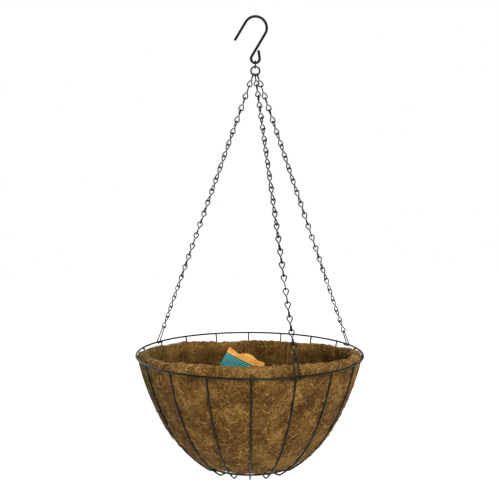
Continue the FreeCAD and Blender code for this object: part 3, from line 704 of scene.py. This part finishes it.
def coir_strands():
    """Single fibres from dark to straw colour by their tint, slightly mottled along their length."""
    material = bpy.data.materials.new("coir_strands")
    material.use_nodes = True
    nodes, links = material.node_tree.nodes, material.node_tree.links
    shader = nodes["Principled BSDF"]
    tint = nodes.new("ShaderNodeAttribute")
    tint.attribute_name = "tint"
    place = nodes.new("ShaderNodeTexCoord")
    mottle = nodes.new("ShaderNodeTexNoise")
    mottle.inputs["Scale"].default_value = 160
    links.new(place.outputs["Object"], mottle.inputs["Vector"])
    weight = nodes.new("ShaderNodeMath")
    weight.operation = "MULTIPLY_ADD"
    weight.inputs[1].default_value = 0.4
    links.new(mottle.outputs["Fac"], weight.inputs[0])
    links.new(tint.outputs["Fac"], weight.inputs[2])
    ramp = nodes.new("ShaderNodeValToRGB")
    ramp.color_ramp.elements[0].position = 0.2
    ramp.color_ramp.elements[0].color = (0.020, 0.009, 0.002, 1)
    ramp.color_ramp.elements[1].position = 1.0
    ramp.color_ramp.elements[1].color = (0.50, 0.305, 0.096, 1)
    ramp.color_ramp.elements.new(0.62).color = (0.127, 0.061, 0.0115, 1)
    links.new(weight.outputs["Value"], ramp.inputs["Fac"])
    # Painted olive shade towards the -X side of the basket.
    links.new(painted_olive_shade(nodes, links, place, ramp.outputs["Color"]), shader.inputs["Base Color"])
    shader.inputs["Roughness"].default_value = 0.7
    shader.inputs["Specular IOR Level"].default_value = 0.15
    return material


strand_material = coir_strands()
# Name, seed, count, share of the skin, length, thickness, lift, curl and tone of each zone; the tones paint
# light: lighter on the lip as a highlight, darker inside as shade.
fibre_zones = (
    ("outer_fibres_low", 101, 4200, (0.02, 0.30), (5, 16), (0.09, 0.22), 1.6, 1.9, 0.46),
    ("outer_fibres_high", 102, 4400, (0.26, 0.492), (5, 16), (0.09, 0.22), 1.6, 1.9, 0.46),
    ("outer_fibres_mid", 103, 4400, (0.12, 0.47), (4, 12), (0.09, 0.24), 1.2, 1.4, 0.44),
    ("lip_fibres", 104, 3600, (0.475, 0.525), (4, 12), (0.09, 0.22), 2.0, 2.0, 0.58),
    ("inner_fibres_high", 105, 3600, (0.51, 0.72), (5, 14), (0.09, 0.20), 1.8, 2.0, 0.26),
    ("inner_fibres_low", 106, 2800, (0.68, 0.97), (5, 14), (0.09, 0.20), 1.8, 2.0, 0.26),
    ("base_loops", 107, 46, (0.09, 0.16), (18, 34), (0.16, 0.30), 9.0, 2.6, 0.75),
)
for fibre_zone in fibre_zones:
    add_piece(fibre_mesh(*fibre_zone), strand_material, "coir", "basket")


# A care card stands in the basket against the front wall: thin printed board, with a
# die-cut upper edge, an orange printed band along it and ruled teal below.
card_width, card_height, card_half = 45 * MM, 70 * MM, 0.3 * MM
card_stand = rib_top_radius - rib_wire - 0.3 * MM - 2 * wall_half - 7.5 * MM


def card_mesh(columns=61, rows=41):
    """Two faces over across and down, joined round the edge, with a slight curl in y.

    z = top(across) (1 - down) - height x down, y = curl (2 across - 1)^2 -+ half the board.
    """
    across, down = np.meshgrid(np.linspace(0, 1, columns), np.linspace(0, 1, rows), indexing="ij")
    cut = np.interp(across * 45, (0, 4, 9, 12, 15, 17, 20, 24, 28, 31, 35, 38, 42, 45),
                    (0, -0.2, -1.0, -2.2, -1.8, 0.6, 2.6, 3.6, 3.8, 3.0, 1.2, 1.0, 1.8, 1.2)) * MM
    level = cut * (1 - down) - card_height * down
    curl = 1.6 * MM * (2 * across - 1) ** 2 * (1 - 0.6 * down)
    faces = [np.stack([across * card_width, curl + side * card_half, level], axis=-1) for side in (-1, 1)]
    turn, lean, azimuth = (math.radians(angle) for angle in (27, 14.7, -9.5))
    placing = (Matrix.Translation(Vector(rim_centre)) @ Matrix.Rotation(azimuth, 4, "Z")
               @ Matrix.Translation((-3 * MM, -card_stand, 31 * MM))
               @ Matrix.Rotation(lean, 4, "X") @ Matrix.Rotation(turn, 4, "Y"))
    placing = np.array(placing)
    vertices = np.concatenate(faces).reshape(-1, 3) @ placing[:3, :3].T + placing[:3, 3]
    front = np.arange(columns * rows).reshape(columns, rows)
    back = front + columns * rows
    plates = [np.stack([f[:-1, :-1], f[1:, :-1], f[1:, 1:], f[:-1, 1:]], axis=-1).reshape(-1, 4)
              for f in (front, back)]
    loops = [np.concatenate([f[:-1, 0], f[-1, :-1], f[:0:-1, -1], f[0, :0:-1]]) for f in (front, back)]
    rim = np.stack([loops[0], loops[1], np.roll(loops[1], -1), np.roll(loops[0], -1)], axis=-1)
    quads = np.concatenate([plates[0][:, ::-1], plates[1], rim])
    mesh = bpy.data.meshes.new("printed_card")
    mesh.from_pydata(vertices.tolist(), [], quads.tolist())
    sheet = np.stack([across * card_width, -level], axis=-1).reshape(-1, 2) / card_height
    sheet = np.concatenate([sheet, sheet])
    corner = np.empty(len(mesh.loops), np.int32)
    mesh.loops.foreach_get("vertex_index", corner)
    mesh.uv_layers.new(name="sheet").data.foreach_set("uv", sheet[corner].astype(np.float32).ravel())
    return mesh


def printed_board():
    """Orange band with darker mottle above, teal with broken pale rules below, satin varnish."""
    material = bpy.data.materials.new("printed_board")
    material.use_nodes = True
    nodes, links = material.node_tree.nodes, material.node_tree.links
    shader = nodes["Principled BSDF"]
    sheet = nodes.new("ShaderNodeUVMap")
    sheet.uv_map = "sheet"
    split = nodes.new("ShaderNodeSeparateXYZ")
    links.new(sheet.outputs["UV"], split.inputs["Vector"])
    print_noise = nodes.new("ShaderNodeTexNoise")
    print_noise.inputs["Scale"].default_value = 9
    print_noise.inputs["Detail"].default_value = 4
    links.new(sheet.outputs["UV"], print_noise.inputs["Vector"])
    band = nodes.new("ShaderNodeValToRGB")
    band.color_ramp.elements[0].position = 0.30
    band.color_ramp.elements[0].color = (0.16, 0.055, 0.012, 1)
    band.color_ramp.elements[1].position = 0.66
    band.color_ramp.elements[1].color = (0.72, 0.42, 0.10, 1)
    band.color_ramp.elements.new(0.42).color = (0.62, 0.27, 0.045, 1)
    links.new(print_noise.outputs["Fac"], band.inputs["Fac"])
    rules = nodes.new("ShaderNodeTexWave")
    rules.bands_direction = "Y"
    rules.inputs["Scale"].default_value = 8.5
    rules.inputs["Distortion"].default_value = 1.2
    rules.inputs["Detail"].default_value = 3
    rules.inputs["Detail Scale"].default_value = 6
    links.new(sheet.outputs["UV"], rules.inputs["Vector"])
    ruled = nodes.new("ShaderNodeValToRGB")
    ruled.color_ramp.elements[0].position = 0.55
    ruled.color_ramp.elements[0].color = (0.0, 0.085, 0.105, 1)
    ruled.color_ramp.elements[1].position = 0.95
    ruled.color_ramp.elements[1].color = (0.16, 0.50, 0.44, 1)
    links.new(rules.outputs["Fac"], ruled.inputs["Fac"])
    edge = nodes.new("ShaderNodeMapRange")
    edge.inputs["From Min"].default_value = 0.095
    edge.inputs["From Max"].default_value = 0.102
    links.new(split.outputs["Y"], edge.inputs["Value"])
    colour = nodes.new("ShaderNodeMix")
    colour.data_type = "RGBA"
    links.new(edge.outputs["Result"], colour.inputs["Factor"])
    links.new(band.outputs["Color"], colour.inputs["A"])
    links.new(ruled.outputs["Color"], colour.inputs["B"])
    links.new(colour.outputs["Result"], shader.inputs["Base Color"])
    shader.inputs["Roughness"].default_value = 0.45
    shader.inputs["Specular IOR Level"].default_value = 0.3
    grain = nodes.new("ShaderNodeBump")
    grain.inputs["Strength"].default_value = 0.15
    grain.inputs["Distance"].default_value = 0.1 * MM
    links.new(print_noise.outputs["Fac"], grain.inputs["Height"])
    links.new(grain.outputs["Normal"], shader.inputs["Normal"])
    return material


add_piece(card_mesh(), printed_board(), "card", "basket", "care_card")
